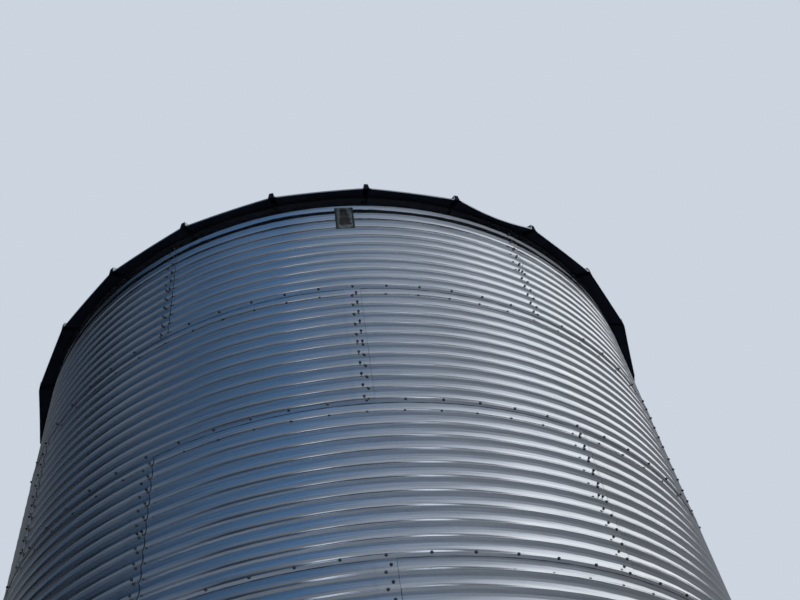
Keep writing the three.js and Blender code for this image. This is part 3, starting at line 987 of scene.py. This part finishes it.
def plate_materials():
    """Faded paint whose dark uneven sides are painted reflection of the plate in the corrugations, with a
    brown middle that has wear and a paler strip, all left bare of text.
    """
    made = []
    across = (math.cos(math.radians(PLATE_ANGLE)), math.sin(math.radians(PLATE_ANGLE)), 0)
    for name, dark, middle, light in (
        ("faded_plate_paint", (0.020, 0.028, 0.030), (0.080, 0.098, 0.088), (0.20, 0.215, 0.195)),
        ("worn_plate_middle", (0.010, 0.009, 0.009), (0.022, 0.018, 0.018), (0.060, 0.050, 0.046)),
        ("plate_foot_strip", (0.040, 0.046, 0.046), (0.100, 0.110, 0.108), (0.17, 0.18, 0.175)),
    ):
        material, nodes = new_material(name)
        place = nodes.add("ShaderNodeTexCoord").outputs["Object"]
        grime = nodes.noise(place, 26.0, 5.0, 0.65)
        # Painted reflection: the colour darkens at the plate's uneven sides, standing for its reflection in
        # the corrugations.
        aside = nodes.add("ShaderNodeVectorMath", {0: place, 1: across}, operation="DOT_PRODUCT")
        to_side = nodes.math("ABSOLUTE", aside.outputs["Value"])
        ragged_side_reflection = nodes.math("MULTIPLY_ADD", nodes.noise(place, 60.0, 3.0), 0.03, to_side)
        edge = nodes.steps(ragged_side_reflection, (0.072, 1.0), (0.078, 0.0))
        wear_and_side_reflection = nodes.math("MULTIPLY", grime, edge)
        colour = nodes.steps(wear_and_side_reflection, (0.22, dark), (0.44, middle), (0.62, light))
        finish_material(nodes, colour, 0.1, 0.75, grime, (0.3, 0.001))
        made.append(material)
    return made


# Scene

def make_camera():
    yaw, pitch, roll = (math.radians(value) for value in (CAMERA_YAW, CAMERA_PITCH, CAMERA_ROLL))
    forward = Vector((math.sin(yaw) * math.cos(pitch), math.cos(yaw) * math.cos(pitch), math.sin(pitch)))
    right = Vector((math.cos(yaw), -math.sin(yaw), 0))
    up = right.cross(forward)
    turned_right = math.cos(roll) * right + math.sin(roll) * up
    turned_up = math.cos(roll) * up - math.sin(roll) * right
    data = bpy.data.cameras.new("camera")
    data.sensor_width = SENSOR_WIDTH
    data.lens = FOCAL_PIXELS / FRAME_WIDTH_PIXELS * SENSOR_WIDTH
    data.clip_end = 500
    camera = bpy.data.objects.new("camera", data)
    turn = Matrix((turned_right, turned_up, -forward)).transposed().to_4x4()
    camera.matrix_world = Matrix.Translation(CAMERA_PLACE) @ turn
    bpy.context.scene.collection.objects.link(camera)
    bpy.context.scene.camera = camera


def make_floor():
    mesh = bpy.data.meshes.new("floor")
    half = 60.0
    level = -2 * MM
    corners = [(-half, -half, level), (half, -half, level), (half, half, level), (-half, half, level)]
    mesh.from_pydata(corners, [], [(0, 1, 2, 3)])
    material, nodes = new_material("pale_floor")
    finish_material(nodes, (0.56, 0.585, 0.61, 1), 0.0, 0.9)
    mesh.materials.append(material)
    floor = bpy.data.objects.new("floor", mesh)
    bpy.context.scene.collection.objects.link(floor)


def tint(level, warmth=0.0):
    """A grey of some level, cooler for a warmth below nought."""
    return (level * (1 + warmth), level * (1 + 0.25 * warmth), level * (1 - warmth))


HORIZON_TOP = 14  # degrees above the floor
BAND_FOOT = 32
BAND_TOP = 65
STRIP_FOOT = 73.5
STRIP_TOP = 78


def make_light():
    """A soft dome behind a plain pale backdrop, dim and cool on the left.

    It has a brighter band half-way up on the right, a grey one above it on the left and in the middle,
    and narrow strips higher up on both sides.
    """
    world = bpy.data.worlds.new("studio")
    bpy.context.scene.world = world
    world.use_nodes = True
    nodes = Nodes(world.node_tree)
    direction = nodes.add("ShaderNodeTexCoord").outputs["Generated"]
    x, y, z = nodes.add("ShaderNodeSeparateXYZ", {0: direction}).outputs
    turn = nodes.math("ARCTAN2", x, nodes.math("MULTIPLY", y, -1.0))
    share = nodes.math("MULTIPLY_ADD", turn, 1 / math.tau, 0.5)

    def round_about(*stops):
        """Levels at some angles from the front, in degrees."""
        return nodes.steps(share, *((0.5 + angle / 360, colour) for angle, colour in stops))

    def by_height(*stops):
        """Levels at some elevations, in degrees."""
        return nodes.steps(z, *((math.sin(math.radians(angle)), level) for angle, level in stops))

    horizon = round_about(
        (-180, tint(0.25, -0.08)),
        (-100, tint(0.012, -0.40)),
        (-58, tint(0.10, -0.45)),
        (-16, tint(0.19, -0.55)),
        (30, tint(0.25, -0.16)),
        (80, tint(0.17, -0.08)),
        (180, tint(0.25, -0.08)),
    )
    low = round_about(
        (-180, tint(0.25, -0.08)),
        (-80, tint(0.022, -0.40)),
        (-58, tint(0.095, -0.58)),
        (-16, tint(0.23, -0.62)),
        (15, tint(0.37, -0.22)),
        (30, tint(0.37, -0.15)),
        (57, tint(0.35, -0.10)),
        (85, tint(0.20, -0.07)),
        (180, tint(0.25, -0.08)),
    )
    band = round_about(
        (-180, tint(0.30, -0.08)),
        (-110, tint(0.085, -0.50)),
        (-80, tint(0.19, -0.20)),
        (-58, tint(0.15, -0.45)),
        (-16, tint(0.24, -0.48)),
        (15, tint(0.40, -0.20)),
        (30, tint(0.46, -0.14)),
        (57, tint(0.86, -0.08)),
        (90, tint(1.25, -0.03)),
        (125, tint(1.20, -0.02)),
        (180, tint(0.30, -0.08)),
    )
    above = round_about(
        (-180, tint(0.15, -0.08)),
        (-80, tint(0.030, -0.47)),
        (-58, tint(0.090, -0.45)),
        (-16, tint(0.13, -0.38)),
        (30, tint(0.25, -0.16)),
        (69, tint(0.24, -0.08)),
        (180, tint(0.15, -0.08)),
    )
    strip = nodes.math(
        "MULTIPLY",
        by_height((STRIP_FOOT - 1, 0.0), (STRIP_FOOT, 1.0), (STRIP_TOP, 1.0), (STRIP_TOP + 1, 0.0)),
        round_about(
            (-42, 0.0), (-32, 0.8), (-20, 0.9), (0, 0.3),
            (38, 0.2), (60, 0.8), (75, 0.8), (92, 0.0),
        ),
    )
    shoulder = nodes.math(
        "MULTIPLY",
        by_height((BAND_TOP - 14, 0.0), (BAND_TOP - 10, 1.0), (BAND_TOP + 6, 1.0), (BAND_TOP + 8, 0.0)),
        round_about((-70, 0.0), (-45, 1.0), (22, 1.0), (42, 0.0)),
    )
    grey = round_about(
        (-60, tint(0.14, -0.20)),
        (-16, tint(0.27, -0.12)),
        (15, tint(0.44, -0.10)),
        (40, tint(0.58, -0.10)),
    )
    colour = nodes.blend(by_height((HORIZON_TOP - 2, 0.0), (HORIZON_TOP + 2, 1.0)), horizon, low)
    colour = nodes.blend(by_height((BAND_FOOT - 1, 0.0), (BAND_FOOT + 1, 1.0)), colour, band)
    colour = nodes.blend(by_height((BAND_TOP - 2, 0.0), (BAND_TOP + 2, 1.0)), colour, above)
    colour = nodes.blend(shoulder, colour, grey)
    colour = nodes.blend(by_height((STRIP_TOP, 0.0), (STRIP_TOP + 1, 1.0)), colour, tint(0.07, -0.30))
    colour = nodes.blend(strip, colour, tint(1.4, -0.14))
    lit = nodes.add("ShaderNodeBackground", {0: colour, 1: 1.0})
    backdrop = (0.60, 0.66, 0.74, 1)
    plain = nodes.add("ShaderNodeBackground", {0: backdrop, 1: 1.0})
    seen = nodes.add("ShaderNodeLightPath").outputs["Is Camera Ray"]
    mixed = nodes.add("ShaderNodeMixShader", {0: seen, 1: lit.outputs[0], 2: plain.outputs[0]})
    nodes.add("ShaderNodeOutputWorld", {0: mixed.outputs[0]})

    key = bpy.data.lights.new("key", "AREA")
    key.shape = "DISK"
    key.size = 9
    key.energy = 2500
    lamp = bpy.data.objects.new("key", key)
    lamp.visible_glossy = False
    place = Vector((16, -9, 20))
    turned = (Vector((0, 0, 5)) - place).to_track_quat("-Z", "Y").to_matrix().to_4x4()
    lamp.matrix_world = Matrix.Translation(place) @ turned
    bpy.context.scene.collection.objects.link(lamp)


def main():
    bpy.ops.wm.read_factory_settings(use_empty=True)
    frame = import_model()
    bpy.context.scene.view_settings.view_transform = "Standard"

    wall, roof, section, bolt = wall_steel(), roof_steel(), bracket_steel(), bolt_steel()
    for name, node in frame["nodes"].items():
        if name.startswith(("ladder", "handrail")):
            node.data.materials.clear()
            node.data.materials.append(section)
            edges = node.modifiers.new("eased edges", "BEVEL")
            edges.width = 1 * MM
            edges.segments = 2
            edges.limit_method = "ANGLE"
    mastic_and_lap_shadow = sealant()
    for ring in range(RINGS):
        wall_ring(ring, wall)
        sealing_bead_and_lap_shadow(ring, mastic_and_lap_shadow)
        upright_bolts(ring, bolt)
    for row in range(RINGS):
        seam_bolts(row, bolt)
    under = roof_underside()
    for index in range(PANELS):
        roof_panel(index, [roof, under])
    eave_filler(foam())
    roof_bolts(bolt)
    peak(roof, bolt)
    base(section, bolt)
    ladder_bolts(bolt)
    plate([*plate_materials(), bolt])

    make_camera()
    make_floor()
    make_light()


main()
